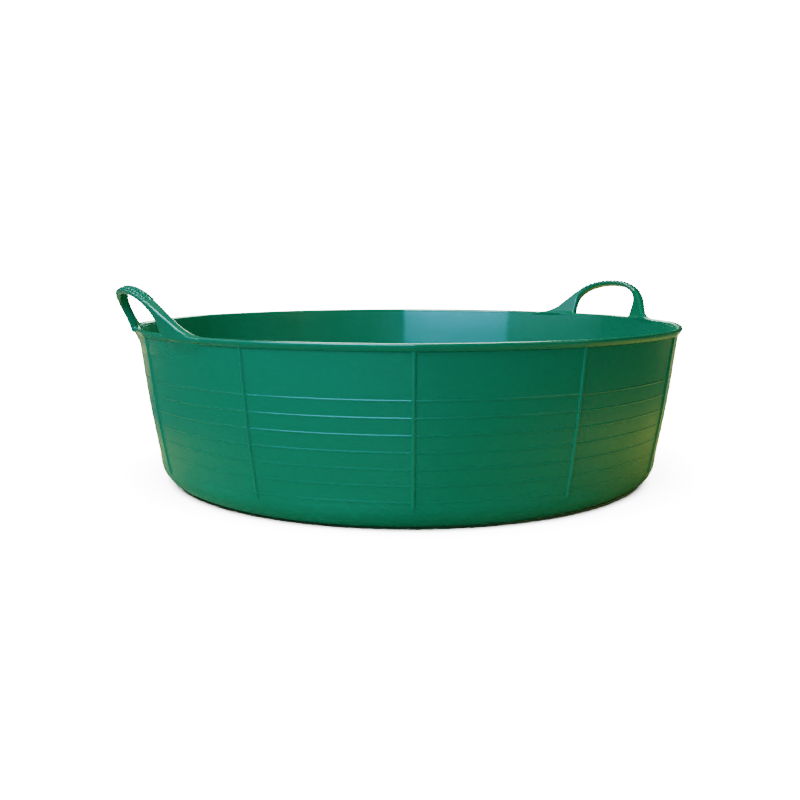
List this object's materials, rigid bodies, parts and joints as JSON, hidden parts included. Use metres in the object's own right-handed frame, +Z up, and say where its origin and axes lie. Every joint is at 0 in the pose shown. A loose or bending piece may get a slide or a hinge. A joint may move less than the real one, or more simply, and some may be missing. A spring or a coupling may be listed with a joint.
{
  "type": "mortar mixing tub",
  "caption": "Wide shallow round flexible tub with a rolled rim, upright ribs, filling lines and two flexing arch handles, for mixing and carrying mortar.",
  "frame": {"origin": "on the ground under the middle of the tub", "axes": "+Z up; the two handles stand on the rim at +X and -X"},
  "size_m": [0.5994, 0.57, 0.1979],
  "materials": {
    "shell_plastic": "satin",
    "grip_plastic": "satin"
  },
  "bodies": {
    "tub": {"base_floor": "shell_plastic", "wall_heel": "shell_plastic", "side_wall": "shell_plastic", "rim_bead": "shell_plastic", "left_handle_front_root": "shell_plastic", "left_handle_rear_root": "shell_plastic", "right_handle_front_root": "shell_plastic", "right_handle_rear_root": "shell_plastic", "wall_rib_01": "shell_plastic", "wall_rib_02": "shell_plastic", "wall_rib_03": "shell_plastic", "wall_rib_04": "shell_plastic", "wall_rib_05": "shell_plastic", "wall_rib_06": "shell_plastic", "wall_rib_07": "shell_plastic", "wall_rib_08": "shell_plastic", "wall_rib_09": "shell_plastic", "wall_rib_10": "shell_plastic", "wall_rib_11": "shell_plastic", "wall_rib_12": "shell_plastic", "level_line_1": "shell_plastic", "level_line_2": "shell_plastic", "level_line_3": "shell_plastic", "level_line_4": "shell_plastic", "level_line_5": "shell_plastic", "level_line_6": "shell_plastic", "level_line_7": "shell_plastic"},
    "left_handle": {"left_handle_grip": "grip_plastic"},
    "right_handle": {"right_handle_grip": "grip_plastic"}
  },
  "joints": [
    {"name": "left_handle_flex", "type": "hinge", "parent": "tub", "child": "left_handle", "pos_m": [-0.2764, 0, 0.164], "axis": [0, 1, 0], "range_deg": [-30, 60], "stiffness_Nm_per_rad": 1},
    {"name": "right_handle_flex", "type": "hinge", "parent": "tub", "child": "right_handle", "pos_m": [0.2764, 0, 0.164], "axis": [0, -1, 0], "range_deg": [-30, 60], "stiffness_Nm_per_rad": 1}
  ]
}
